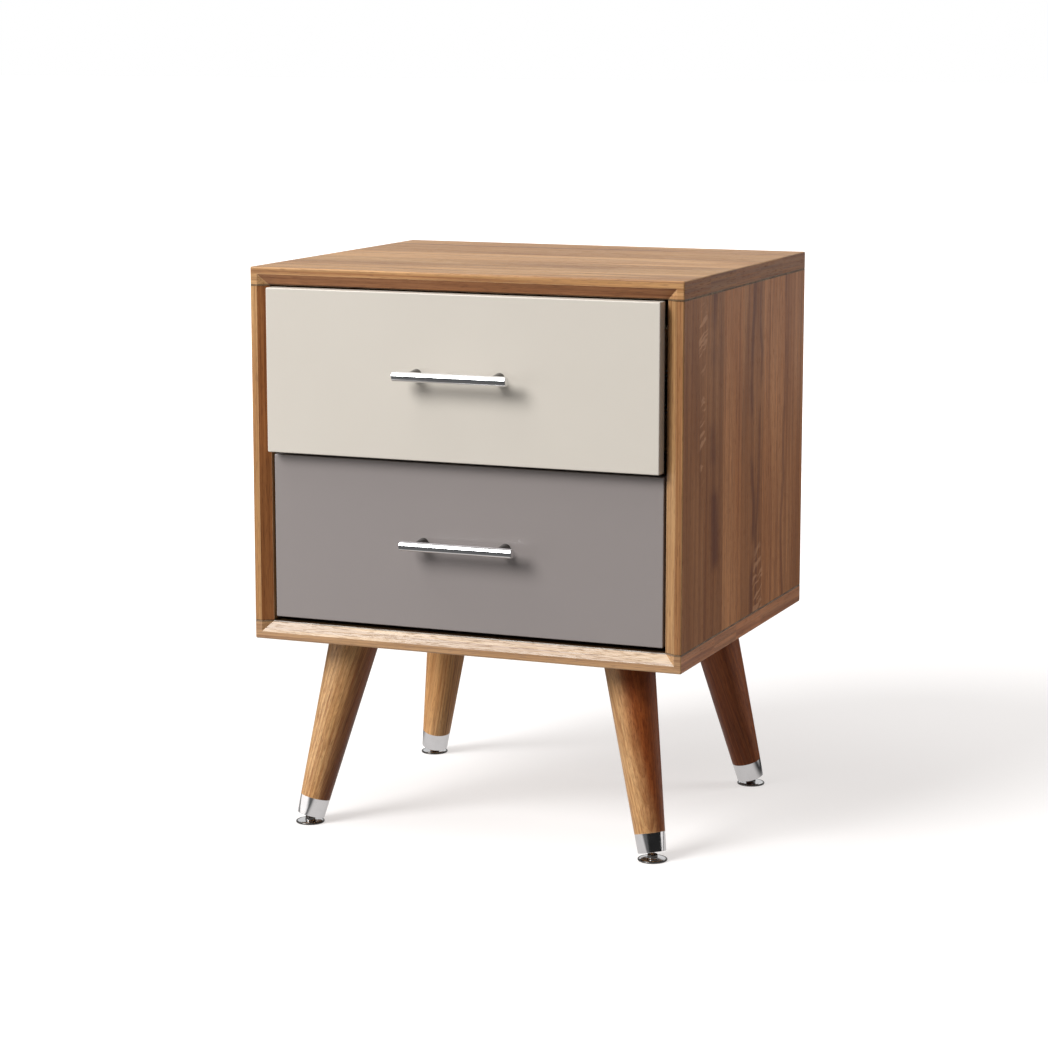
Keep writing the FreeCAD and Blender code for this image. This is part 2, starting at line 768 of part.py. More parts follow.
def drawer_box(name, drawer):
    """The plywood box behind the front: two sides, an inner front, a back and a floor in grooves."""
    for side, sign in SIDES.items():
        low_x = f"{sign} * {BOX_WIDTH} / 2 - dim.box_board * {(sign + 1) // 2}"
        size = ("dim.box_board", "dim.box_depth", "dim.box_height")
        wall = box_wall(f"{name}_box_{side}", drawer, (low_x, "0", "dim.box_rise"), size)
        hole_x = f"{sign} * ({BOX_WIDTH} / 2 - {SLIDE_SCREW_IN_WOOD})"
        for row in SLIDE_SCREW_ROWS:
            at = (hole_x, f"dim.slide_setback + {row}", "dim.slide_rise")
            drill(wall, at, ("0", f"{sign} * 90", "0"), "dim.screw_radius", SLIDE_SCREW_IN_WOOD)
    cross_size = (BOX_INSIDE, "dim.box_board", "dim.box_height")
    low_x = f"-{BOX_INSIDE} / 2"
    back_y = "dim.box_depth - dim.box_board"
    inner_front = box_wall(f"{name}_box_front", drawer, (low_x, "0", "dim.box_rise"), cross_size)
    box_wall(f"{name}_box_back", drawer, (low_x, back_y, "dim.box_rise"), cross_size)
    for x, z in front_screw_places() + [(x, handle_height(drawer)) for x in handle_xs()]:
        drill(inner_front, (x, "0", z), ALONG_Y, "dim.screw_radius", "dim.box_board")
    floor = new_body(f"{name}_box_floor", drawer_frame(drawer))
    block(floor, *BOX_FLOOR)


def drawer_screws(name, drawer):
    """The screws inside the box: two into the handle's posts, four into the front board."""
    toward_front = ("0", "0", "90")
    head = ("dim.screw_head_radius", "dim.screw_head_height")
    handle_shank = ("dim.screw_radius", HANDLE_SCREW_LENGTH)
    front_shank = ("dim.screw_radius", "dim.front_screw_length")
    into_handle = [
        screw((x, "dim.box_board", handle_height(drawer)), toward_front, *handle_shank, *head)
        for x in handle_xs()
    ]
    into_front = [
        screw((x, "dim.box_board", z), toward_front, *front_shank, *head) for x, z in front_screw_places()
    ]
    group(f"{name}_handle_screws", into_handle, drawer_frame(drawer))
    group(f"{name}_front_screws", into_front, drawer_frame(drawer))


def handle(name, drawer):
    """A round bar on two posts that widen towards the front board, screwed on from inside the drawer."""
    bar_y = "-dim.front_board - dim.bar_reach"
    bar_start = ("-dim.bar_length / 2", bar_y, handle_height(drawer))
    bar = new_body(f"{name}_handle_bar", drawer_frame(drawer))
    rod(bar, bar_start, ALONG_X, "dim.bar_radius", "dim.bar_length")
    ease(bar, "Chamfer", "dim.bar_chamfer", lambda edge: len(edge.Vertexes) == 1)
    posts = []
    for x in handle_xs():
        foot = (x, "-dim.front_board", handle_height(drawer))
        toward_front = ("0", "0", "90")
        shank = bind(
            doc.addObject("Part::Cone", "Post"),
            Radius1="dim.post_foot_radius",
            Radius2="dim.post_radius",
            Height="dim.bar_reach",
        )
        place(shank, foot, toward_front)
        seat = pin("dim.bar_radius", "dim.bar_length", bar_start, ALONG_X)
        bore = pin("dim.screw_radius", "dim.screw_in_post", foot, toward_front)
        posts.append(boolean("Cut", boolean("Cut", shank, seat), bore))
    group(f"{name}_handle_posts", posts, drawer_frame(drawer))


# ---- the whole nightstand ----------------------------------------------------------------------------

case_boards()
case_dowels()
back_board()
for corner in CORNERS:
    leg(corner)
    ferrule(corner)
    glide(corner)
leg_fastenings()
case_rail_screws()
for name, drawer in DRAWERS.items():
    for side, sign in SIDES.items():
        slide(name, drawer, side, sign)
    ball_cages(name, drawer)
    rail_screws(name, drawer)
    drawer_front(name, drawer)
    drawer_box(name, drawer)
    drawer_screws(name, drawer)
    handle(name, drawer)

doc.recompute()
failed = [item.Label for item in doc.Objects if {"Invalid", "Error"} & set(item.State)]
if failed:
    raise RuntimeError(f"these objects did not compute: {failed}")
for item in kept:
    if item.Shape.isNull() or not item.Shape.isValid():
        raise RuntimeError(f"{item.Label} has no valid shape")

os.makedirs("parts", exist_ok=True)
for item in kept:
    item.Shape.exportStep(f"parts/{item.Label}.step")
print(len(kept), "sub-parts")
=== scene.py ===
import json
import math

import bmesh
import bpy
from mathutils import Matrix, Vector


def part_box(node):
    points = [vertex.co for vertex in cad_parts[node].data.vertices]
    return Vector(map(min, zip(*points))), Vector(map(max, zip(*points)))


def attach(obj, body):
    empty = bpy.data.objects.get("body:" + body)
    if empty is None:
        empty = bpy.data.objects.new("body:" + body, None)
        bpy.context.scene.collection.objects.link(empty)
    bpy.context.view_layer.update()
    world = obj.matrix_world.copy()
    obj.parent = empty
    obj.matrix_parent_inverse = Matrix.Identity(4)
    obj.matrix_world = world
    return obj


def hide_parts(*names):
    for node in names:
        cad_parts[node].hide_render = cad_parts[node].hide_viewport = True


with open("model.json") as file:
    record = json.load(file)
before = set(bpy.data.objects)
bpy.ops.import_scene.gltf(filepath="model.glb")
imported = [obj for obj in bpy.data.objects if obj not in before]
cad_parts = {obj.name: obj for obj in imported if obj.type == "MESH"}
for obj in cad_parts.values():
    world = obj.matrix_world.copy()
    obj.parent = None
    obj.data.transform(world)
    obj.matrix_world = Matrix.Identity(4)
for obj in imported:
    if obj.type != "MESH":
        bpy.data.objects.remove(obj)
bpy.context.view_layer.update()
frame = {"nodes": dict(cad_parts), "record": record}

# The nightstand's looks, in metres, in the row frame: +Z up, the drawers face -Y.

NODES = frame["nodes"]
RECORD = frame["record"]
CORNERS = ("front_left", "front_right", "back_left", "back_right")
DRAWERS = ("upper", "lower")

# How squarely a surface has to face along an axis to count as facing that way.
FACES_SHARE = 0.6

scene = bpy.context.scene
scene.view_settings.view_transform = "Standard"


def body_of_node(node):
    """The name of the body that a CAD node rides on."""
    for body, members in RECORD["behaviour"]["bodies"].items():
        if node in members:
            return body
    raise KeyError(node)


def middle(node):
    """The middle of a CAD node's box."""
    low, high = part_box(node)
    return (low + high) / 2


# ---- node trees --------------------------------------------------------------------------------------

class Graph:
    """A material's node tree, with short calls for the nodes that the materials share."""

    def __init__(self, name):
        self.material = bpy.data.materials.new(name)
        self.material.use_nodes = True
        self.tree = self.material.node_tree
        self.shader = self.tree.nodes["Principled BSDF"]

    def feed(self, socket, value):
        """Links an output into a socket, or sets the socket's own value."""
        if isinstance(value, bpy.types.NodeSocket):
            self.tree.links.new(value, socket)
        elif socket.type == "RGBA" and len(value) == 3:
            socket.default_value = (*value, 1.0)
        else:
            socket.default_value = value

    def node(self, kind, inputs=None, **settings):
        """Adds a node, sets its options, and feeds its inputs."""
        made = self.tree.nodes.new(f"ShaderNode{kind}")
        for name, value in settings.items():
            setattr(made, name, value)
        for name, value in (inputs or {}).items():
            self.feed(made.inputs[name], value)
        return made

    def finish_shader(self, **inputs):
        """Feeds the Principled shader; underscores in the names stand for spaces."""
        for name, value in inputs.items():
            self.feed(self.shader.inputs[name.replace("_", " ")], value)
        return self.material

    def math(self, operation, a, b=0.0):
        return self.node("Math", {0: a, 1: b}, operation=operation).outputs[0]

    def product(self, a, b):
        """The dot product of two vectors."""
        return self.node("VectorMath", {0: a, 1: b}, operation="DOT_PRODUCT").outputs["Value"]

    def add(self, a, b):
        return self.math("ADD", a, b)

    def sub(self, a, b):
        return self.math("SUBTRACT", a, b)

    def mul(self, a, b):
        return self.math("MULTIPLY", a, b)

    def spread(self, value, low, high, to_low=0.0, to_high=1.0, smooth=True):
        """Maps low..high onto to_low..to_high, clamped."""
        made = self.node(
            "MapRange",
            {0: value, 1: low, 2: high, 3: to_low, 4: to_high},
            interpolation_type="SMOOTHSTEP" if smooth else "LINEAR",
        )
        return made.outputs[0]

    def vector(self, x, y, z):
        return self.node("CombineXYZ", {0: x, 1: y, 2: z}).outputs[0]

    def parts(self, vector):
        made = self.node("SeparateXYZ", {0: vector})
        return made.outputs[0], made.outputs[1], made.outputs[2]

    def noise(self, vector, pitch, detail=2.0, roughness=0.5, distortion=0.0):
        """Noise in 3D. The pitch is its features to a metre, along each axis or one number for all."""
        scale = pitch if isinstance(pitch, tuple) else (pitch, pitch, pitch)
        stretched = self.node("VectorMath", {0: vector, 1: scale}, operation="MULTIPLY").outputs[0]
        inputs = {"Vector": stretched, "Scale": 1.0, "Detail": detail, "Roughness": roughness}
        return self.node("TexNoise", {**inputs, "Distortion": distortion}).outputs[0]

    def grain(self, vector, pitch, detail=2.0, roughness=0.5, distortion=0.0):
        """Noise drawn out along the third axis. The pitch is its features to a metre, across and along."""
        across, along = pitch
        return self.noise(vector, (across, across, along), detail, roughness, distortion)

    def mix(self, share, a, b, mode="MIX"):
        """Blends two colours. Inputs 6 and 7 and output 2 are the node's colour sockets."""
        made = self.node("Mix", data_type="RGBA", blend_type=mode, clamp_factor=True)
        self.feed(made.inputs[0], share)
        self.feed(made.inputs[6], a)
        self.feed(made.inputs[7], b)
        return made.outputs[2]

    def tint(self, colour, factor):
        """Multiplies a colour by a number."""
        grey = self.vector(factor, factor, factor)
        return self.mix(1.0, colour, grey, "MULTIPLY")

    def bump(self, height, strength, distance):
        inputs = {"Height": height, "Strength": strength, "Distance": distance}
        return self.node("Bump", inputs).outputs[0]

    def place(self):
        """The point on the piece, in the piece's own coordinates."""
        return self.node("TexCoord").outputs["Object"]

    def normal(self):
        """The way the surface faces, in the piece's own coordinates."""
        return self.node("TexCoord").outputs["Normal"]

    def faces(self, axis):
        """1 where the surface faces along an axis of the row, either way, and 0 elsewhere."""
        share = self.math("ABSOLUTE", self.parts(self.normal())["XYZ".index(axis)])
        return self.math("GREATER_THAN", share, FACES_SHARE)


# ---- wood --------------------------------------------------------------------------------------------

BOARD_WOOD = {
    "light": (0.56, 0.325, 0.148),
    "mid": (0.43, 0.223, 0.090),
    "dark": (0.205, 0.078, 0.028),
    "heart": (0.125, 0.050, 0.030),
}
LEG_WOOD = {
    "light": (0.60, 0.368, 0.176),
    "mid": (0.50, 0.262, 0.100),
    "dark": (0.24, 0.085, 0.026),
    "heart": (0.150, 0.050, 0.020),
}

# The colour of ray flecks and of the painted highlight on edges, and the tint of the painted shade on one
# side of a leg.
FLECK_AND_EDGE_HIGHLIGHT = (0.70, 0.48, 0.29)
SHADE_SIDE_TINT = (0.55, 0.26, 0.15)

# How much light the satin finish mirrors, as the shader's specular level.
BOARD_GLOSS = {"top_board": 0.2, "bottom_board": 0.6, "left_side_board": 0.15, "right_side_board": 0.15}
LEG_GLOSS = 0.25

# The radius of the rounded edge that gets the painted highlight.
EDGE_RADIUS = 0.0016

# Each leg's tone from 0 to 1, its shift through the log, and where the painted shade on its right side
# starts, in metres across the leg from its axis.
# Painted light: the back left leg's tone is raised to light it where the case shades it.
LEG_TONES_AND_LIGHT = {"front_left": 0.62, "front_right": 0.50, "back_left": 1.0, "back_right": 0.55}
LEG_SHIFTS = {"front_left": 0.13, "front_right": 0.36, "back_left": 0.59, "back_right": 0.82}
LEG_SHADE_STARTS = {"front_left": 0.010, "front_right": 0.0105, "back_left": 0.018, "back_right": -0.022}

# Painted light and shade on the faces that look one way: tints that darken them in shade, or lighten and
# whiten them where light and sheen fall, as (way, tint).
SLANT = math.sqrt(0.5)
FACE_LIGHT_AND_SHADE_TINTS = {
    "top_board": (
        ((0.0, -SLANT, -SLANT), (0.62, 0.51, 0.53)),
        ((1.0, 0.0, 0.0), (0.62, 0.47, 0.40)),
    ),
    "bottom_board": (
        ((1.0, 0.0, 0.0), (1.24, 0.92, 0.88)),
        ((0.0, -1.0, 0.0), (0.87, 0.88, 0.96)),
        ((0.0, -SLANT, SLANT), (0.87, 0.97, 1.05)),
    ),
    "left_side_board": (((SLANT, -SLANT, 0.0), (0.66, 0.48, 0.38)),),
    "right_side_board": (
        ((1.0, 0.0, 0.0), (0.98, 0.74, 0.68)),
        ((0.0, -1.0, 0.0), (0.95, 0.84, 0.80)),
    ),
}

# Groups of ray flecks, as (across the board, along it, half width, half length).
FLECK_GROUPS = {
    "top_board": (),
    "bottom_board": (),
    "left_side_board": ((-0.02, 0.50, 0.012, 0.04), (0.16, 0.30, 0.010, 0.05)),
    "right_side_board": (
        (0.066, 0.262, 0.022, 0.065),
        (-0.134, 0.565, 0.018, 0.045),
        (-0.132, 0.46, 0.012, 0.06),
    ),
}

# Growth rings, as their pitch in metres and the lean of the pith.
BOARD_RINGS = (0.0085, 0.012)
LEG_RINGS = (0.0042, 0.006)
PITH_DEPTH = 0.035

# Grain, as features to a metre across it and along it.
BEND_GRAIN = (6.0, 1.2)
PATCH_GRAIN = (11.0, 2.2)
RING_LIFE_GRAIN = (20.0, 2.0)
SHADE_EDGE_GRAIN = (60.0, 3.0)
BROAD_GRAIN = (95.0, 2.6)
WAVER_GRAIN = (140.0, 2.5)
RAGGED_GRAIN = (260.0, 9.0)
LINE_GRAIN = (300.0, 3.2)
THREAD_GRAIN = (800.0, 8.0)
PORE_GRAIN = (1250.0, 75.0)

# A seam's dark line, as its half width, the place where it ends, and its tone.
SEAM_DARK, SEAM_END, SEAM_TONE = 0.0006, 0.0016, 0.18

# The thickness of a dark and a pale ply together.
TWO_PLIES = 0.0029

# A board's staves from front to back: width in metres, and tone from 0 to 1.
STAVES = {
    "top_board": ((0.085, 0.66), (0.085, 0.44), (0.090, 0.80), (0.080, 0.46), (0.090, 0.62)),
    "bottom_board": ((0.110, 0.55), (0.075, 0.35), (0.090, 0.70), (0.155, 0.45)),
    "left_side_board": ((0.095, 0.60), (0.080, 0.34), (0.100, 0.72), (0.070, 0.45), (0.085, 0.62)),
    "right_side_board": ((0.134, 0.15), (0.064, 0.70), (0.076, 0.28), (0.079, 0.66), (0.077, 0.48)),
}

# Dark heartwood streaks, as (across the board, half width, strength).
STREAKS = {
    "top_board": ((-0.150, 0.006, 0.45), (0.030, 0.005, 0.35), (0.175, 0.008, 0.5)),
    "bottom_board": ((-0.060, 0.010, 0.6), (0.120, 0.012, 0.6)),
    "left_side_board": ((-0.090, 0.009, 0.7), (0.050, 0.006, 0.5), (0.190, 0.008, 0.6)),
    "right_side_board": (
        (-0.094, 0.016, 0.8),
        (0.042, 0.008, 0.7),
        (0.064, 0.006, 0.6),
        (0.160, 0.006, 0.5),
    ),
}


def stave_of(g, across, start, staves):
    """The stave that a point is in: its tone and its own shift through the log."""
    total = sum(width for width, _ in staves)
    ramp = g.node("ValToRGB", {0: g.spread(across, start, start + total, smooth=False)})
    stops = ramp.color_ramp.elements
    ramp.color_ramp.interpolation = "CONSTANT"
    stops.remove(stops[1])
    reached = 0.0
    for i, (width, tone) in enumerate(staves):
        stop = stops.new(reached / total) if i else stops[0]
        stop.color = (tone, 0.37 * (i + 1) % 1.0, 0.0, 1.0)
        reached += width
    tone, shift, _ = g.parts(ramp.outputs[0])
    return tone, shift


def wood_figure(g, point, palette, stave, ring_shape):
    """Wood whose grain runs along the third coordinate of point. Returns colour, roughness and height."""
    across, depth, along = g.parts(point)
    tone, shift = stave
    ring_pitch, lean = ring_shape
    moved_across = g.add(across, g.mul(shift, 0.9))
    moved_along = g.add(along, g.mul(shift, 4.3))
    moved = g.vector(moved_across, g.add(depth, shift), moved_along)

    # Growth rings round a pith that leans a little from the board's length.
    bend = g.mul(g.sub(g.grain(moved, BEND_GRAIN), 0.5), 0.025)
    off_pith = g.add(g.add(depth, PITH_DEPTH), g.add(g.mul(along, lean), bend))
    sideways = g.add(g.add(across, bend), g.mul(g.sub(shift, 0.5), 0.12))
    radius = g.math("SQRT", g.add(g.mul(sideways, sideways), g.mul(off_pith, off_pith)))
    waver = g.mul(g.grain(moved, WAVER_GRAIN), 0.4)
    saw = g.math("FRACT", g.add(g.math("DIVIDE", radius, ring_pitch), waver))
    late_wood = g.mul(g.spread(saw, 0.25, 0.92), g.spread(saw, 1.0, 0.94))
    ring_life = g.spread(g.grain(moved, RING_LIFE_GRAIN), 0.35, 0.65, 0.2, 1.0)
    rings = g.mul(late_wood, ring_life)

    # Fine lines along the grain, pores and slow patches of tone.
    patches = g.grain(moved, PATCH_GRAIN, detail=3.0, roughness=0.6)
    broad = g.grain(moved, BROAD_GRAIN, detail=3.0, roughness=0.6)
    lines = g.grain(moved, LINE_GRAIN, roughness=0.55)
    threads = g.grain(moved, THREAD_GRAIN, detail=3.0, roughness=0.6)
    pores = g.spread(g.grain(moved, PORE_GRAIN, detail=1.0), 0.57, 0.68)

    colour = g.mix(g.spread(patches, 0.35, 0.65), palette["mid"], palette["light"])
    colour = g.mix(g.mul(rings, 0.50), colour, palette["dark"])
    colour = g.mix(g.spread(broad, 0.50, 0.66, 0.0, 0.28), colour, palette["dark"])
    colour = g.mix(g.spread(broad, 0.48, 0.34, 0.0, 0.30), colour, palette["light"])
    colour = g.mix(g.spread(lines, 0.52, 0.64, 0.0, 0.40), colour, palette["dark"])
    colour = g.tint(colour, g.spread(threads, 0.32, 0.68, 0.84, 1.15))
    colour = g.mix(g.mul(pores, 0.38), colour, palette["heart"])
    colour = g.tint(colour, g.spread(tone, 0.0, 1.0, 0.72, 1.26, smooth=False))

    roughness = g.add(g.mul(pores, 0.14), g.spread(threads, 0.35, 0.65, 0.30, 0.42))
    height = g.sub(g.mul(threads, 0.3), g.add(g.mul(pores, 0.9), g.mul(rings, 0.25)))
    return colour, roughness, height


def heart_streaks(g, point, colour, streaks):
    """Dark streaks along the grain that wander, swell and fade."""
    across, _, along = g.parts(point)
    ragged = g.grain(point, RAGGED_GRAIN)
    for at, half_width, strength in streaks:
        wander = g.noise(g.vector(g.mul(along, 5.0), at * 97.0, 0.0), 1.0, detail=3.0)
        swell = g.noise(g.vector(g.mul(along, 9.0), at * 61.0, 4.0), 1.0)
        off = g.math("ABSOLUTE", g.sub(across, g.add(at, g.mul(g.sub(wander, 0.5), 0.05))))
        off = g.add(g.math("DIVIDE", off, half_width), g.mul(g.sub(ragged, 0.5), 1.2))
        share = g.mul(g.spread(off, 1.3, 0.1), g.spread(swell, 0.34, 0.52, 0.0, strength))
        colour = g.mix(share, colour, BOARD_WOOD["heart"])
    return colour


def ray_flecks(g, point, colour, groups):
    """Short light strokes across the grain, in groups."""
    across, depth, along = g.parts(point)
    uneven = g.mul(g.sub(g.noise(point, 90.0), 0.5), 0.010)
    slanted = g.add(g.add(along, g.mul(across, -0.35)), uneven)
    strokes = g.grain(g.vector(across, depth, slanted), (30.0, 210.0), detail=1.0)
    strokes = g.spread(strokes, 0.52, 0.60)
    for middle_across, middle_along, half_width, half_length in groups:
        from_across = g.math("DIVIDE", g.sub(across, middle_across), half_width)
        from_along = g.math("DIVIDE", g.sub(along, middle_along), half_length)
        reach = g.add(g.mul(from_across, from_across), g.mul(from_along, from_along))
        colour = g.mix(g.mul(strokes, g.spread(reach, 1.0, 0.3, 0.0, 0.55)), colour, FLECK_AND_EDGE_HIGHLIGHT)
    return colour


def wood_shader(g, figure, gloss):
    """Satin-lacquered wood, with a painted highlight that makes its edges paler in patches."""
    colour, roughness, height = figure
    # Painted highlight: rounded edges, found by the bevel normal, are mixed paler in noisy patches.
    edge = g.node("Bevel", {"Radius": EDGE_RADIUS}, samples=4).outputs[0]
    turn = g.product(edge, g.node("NewGeometry").outputs["Normal"])
    highlight_patches = g.noise(g.place(), 60.0, detail=3.0)
    edge_highlight = g.mul(g.spread(turn, 0.995, 0.90), g.spread(highlight_patches, 0.35, 0.65, 0.35, 1.0))
    colour = g.mix(g.mul(edge_highlight, 0.50), colour, FLECK_AND_EDGE_HIGHLIGHT)
    return g.finish_shader(
        Base_Color=colour,
        Roughness=roughness,
        Normal=g.bump(height, 0.25, 0.0004),
        Specular_IOR_Level=gloss,
    )


def board_wood(node, along, seams, end_along=None):
    """Veneered board. end_along is the grain's direction on the faces that would be end grain, and
    seams are the heights of the lines where it meets other boards."""
    g = Graph(f"wood_{node}")
    x, y, z = g.parts(g.place())
    order = {"X": (y, z, x), "Y": (x, z, y), "Z": (y, x, z)}
    point = g.vector(*order[along])
    if end_along:
        pick = g.node("Mix", data_type="VECTOR")
        g.feed(pick.inputs[0], g.faces("X"))
        g.feed(pick.inputs[4], point)
        g.feed(pick.inputs[5], g.vector(*order[end_along]))
        point = pick.outputs[1]
    stave = stave_of(g, y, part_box(node)[0].y, STAVES[node])
    colour, roughness, height = wood_figure(g, point, BOARD_WOOD, stave, BOARD_RINGS)
    colour = heart_streaks(g, point, colour, STREAKS[node])
    colour = ray_flecks(g, point, colour, FLECK_GROUPS[node])
    # Painted light and shade: each face that looks one way is tinted for the light, shade or sheen that
    # falls on it.
    for direction, light_tint in FACE_LIGHT_AND_SHADE_TINTS[node]:
        facing = g.product(g.normal(), direction)
        colour = g.mix(g.spread(facing, 0.88, 0.96), colour, light_tint, "MULTIPLY")
    for seam in seams:
        gap = g.math("ABSOLUTE", g.sub(z, seam))
        colour = g.tint(colour, g.spread(gap, SEAM_DARK, SEAM_END, SEAM_TONE, 1.0))
    return wood_shader(g, (colour, roughness, height), BOARD_GLOSS[node])


def leg_wood(corner):
    """Solid wood whose grain runs along a leg's own axis, with painted shade darkening its right side,
    away from the key light.
    """
    top = middle(f"leg_{corner}")
    foot = middle(f"ferrule_{corner}")
    turn = (top - foot).normalized().rotation_difference(Vector((0.0, 0.0, 1.0)))
    g = Graph(f"wood_leg_{corner}")
    inputs = {"Vector": g.place(), "Rotation": turn.to_euler(), "Location": -(turn @ foot)}
    point = g.node("Mapping", inputs, vector_type="POINT").outputs[0]
    stave = (LEG_TONES_AND_LIGHT[corner], LEG_SHIFTS[corner])
    colour, roughness, height = wood_figure(g, point, LEG_WOOD, stave, LEG_RINGS)
    # Painted shade: the leg turns dark and red on its right side, as though in shade, with a ragged edge.
    across, _, _ = g.parts(point)
    uneven = g.mul(g.sub(g.grain(point, SHADE_EDGE_GRAIN, detail=3.0), 0.5), 0.02)
    shade_start = LEG_SHADE_STARTS[corner]
    heart = g.spread(g.add(across, uneven), shade_start - 0.010, shade_start + 0.012)
    colour = g.mix(heart, colour, SHADE_SIDE_TINT, "MULTIPLY")
    return wood_shader(g, (colour, roughness, height), LEG_GLOSS)


def plywood(name, thick_axis):
    """Pale birch plywood whose plies show on its level edges, or nowhere on a level sheet."""
    g = Graph(name)
    x, y, z = g.parts(g.place())
    across = {"X": x, "Y": y, "Z": z}[thick_axis]
    length = x if thick_axis == "Y" else y
    wide = x if thick_axis == "Z" else z
    point = g.vector(wide, across, length)
    grain = g.grain(point, (150.0, 3.0), detail=4.0, roughness=0.6)
    bands = g.grain(point, (18.0, 1.5), distortion=0.6)
    colour = g.mix(g.spread(grain, 0.3, 0.7), (0.70, 0.52, 0.33), (0.80, 0.64, 0.44))
    colour = g.mix(g.spread(bands, 0.45, 0.6, 0.0, 0.35), colour, (0.58, 0.40, 0.24))
    if thick_axis != "Z":
        ply = g.math("FRACT", g.math("DIVIDE", across, TWO_PLIES))
        layers = g.mix(g.spread(ply, 0.40, 0.60), (0.42, 0.26, 0.14), (0.76, 0.60, 0.40))
        colour = g.mix(g.faces("Z"), colour, layers)
    return g.finish_shader(
        Base_Color=colour,
        Roughness=g.spread(grain, 0.3, 0.7, 0.42, 0.55),
        Normal=g.bump(grain, 0.12, 0.0004),
    )


def raw_wood(name, light, dark):
    """Plain unfinished wood, for the dowels and the back board."""
    g = Graph(name)
    grain = g.grain(g.place(), (190.0, 5.0), detail=4.0, roughness=0.6)
    slow = g.grain(g.place(), (14.0, 1.6), detail=3.0, distortion=0.8)
    colour = g.mix(g.spread(grain, 0.3, 0.7), dark, light)
    colour = g.mix(g.spread(slow, 0.40, 0.65, 0.0, 0.55), colour, dark)
    return g.finish_shader(
        Base_Color=colour,
        Roughness=g.spread(grain, 0.3, 0.7, 0.50, 0.62),
        Normal=g.bump(grain, 0.15, 0.0004),
    )


# ---- paint and metal ---------------------------------------------------------------------------------

CHROME = (0.78, 0.78, 0.79)
ZINC = (0.62, 0.63, 0.65)

# Scratches, as features to a metre along X, Y and Z, or one number for all.
SCRATCHES = {"X": (30.0, 1600.0, 1600.0), "Y": (1600.0, 30.0, 1600.0), "round": 900.0}


def lacquer(name, colour, shade):
    """Sprayed satin lacquer: faint orange peel, specks and a cloudy sheen."""
    g = Graph(name)
    point = g.place()
    peel = g.noise(point, 420.0)
    waves = g.noise(point, 26.0)
    clouds = g.noise(point, 5.0, detail=3.0)
    speck = g.spread(g.noise(point, 1900.0, detail=1.0), 0.70, 0.80)
    tone = g.mix(g.spread(clouds, 0.35, 0.65, 0.0, 0.6), colour, shade)
    tone = g.mix(g.mul(speck, 0.10), tone, shade)
    height = g.add(g.mul(peel, 0.3), g.mul(waves, 1.6))
    return g.finish_shader(
        Base_Color=tone,
        Roughness=g.add(g.spread(clouds, 0.35, 0.65, 0.33, 0.40), g.mul(peel, 0.03)),
        Normal=g.bump(height, 0.10, 0.0009),
        Coat_Weight=0.10,
        Coat_Roughness=0.25,
    )


def metal(name, colour, rough_low, rough_high, scratched="round"):
    """Metal with faint smears, and with fine scratches along an axis or all round."""
    g = Graph(name)
    point = g.place()
    scratches = g.noise(point, SCRATCHES[scratched], detail=3.0, roughness=0.7)
    smears = g.noise(point, 70.0, detail=3.0)
    wear = g.add(g.mul(scratches, 0.5), g.mul(smears, 0.5))
    return g.finish_shader(
        Base_Color=g.tint(colour, g.spread(smears, 0.3, 0.7, 0.94, 1.0)),
        Metallic=1.0,
        Roughness=g.spread(wear, 0.35, 0.65, rough_low, rough_high),
        Normal=g.bump(scratches, 0.04, 0.0001),
    )


# ---- pieces ------------------------------------------------------------------------------------------

TURNED_STEPS = 96


def give(material, *nodes):
    """Puts a material on CAD nodes."""
    for node in nodes:
        mesh = NODES[node].data
        mesh.materials.clear()
        mesh.materials.append(material)


def turned(name, outline, at, body, material):
    """A solid turned about the vertical through a point, from a list of (radius, height)."""
    bm = bmesh.new()
    rings = []
    for radius, height in outline:
        ring = []
        for i in range(TURNED_STEPS):
            angle = 2 * math.pi * i / TURNED_STEPS
            place = (at.x + radius * math.cos(angle), at.y + radius * math.sin(angle), height)
            ring.append(bm.verts.new(place))
        rings.append(ring)
    for lower, upper in zip(rings, rings[1:]):
        for i in range(TURNED_STEPS):
            j = (i + 1) % TURNED_STEPS
            bm.faces.new((lower[i], lower[j], upper[j], upper[i]))
    bm.faces.new(list(reversed(rings[0])))
    bm.faces.new(rings[-1])
    bmesh.ops.recalc_face_normals(bm, faces=bm.faces)
    mesh = bpy.data.meshes.new(name)
    bm.to_mesh(mesh)
    bm.free()
    for polygon in mesh.polygons:
        polygon.use_smooth = len(polygon.vertices) == 4
    piece = bpy.data.objects.new(name, mesh)
    scene.collection.objects.link(piece)
    mesh.materials.append(material)
    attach(piece, body)
    return piece


def arc(centre_r, centre_z, radius, start, end, count=7):
    """Points of an arc in a lathe outline, angles in degrees from the outward direction."""
    points = []
    for i in range(count):
        angle = math.radians(start + (end - start) * i / (count - 1))
        points.append((centre_r + radius * math.cos(angle), centre_z + radius * math.sin(angle)))
    return points


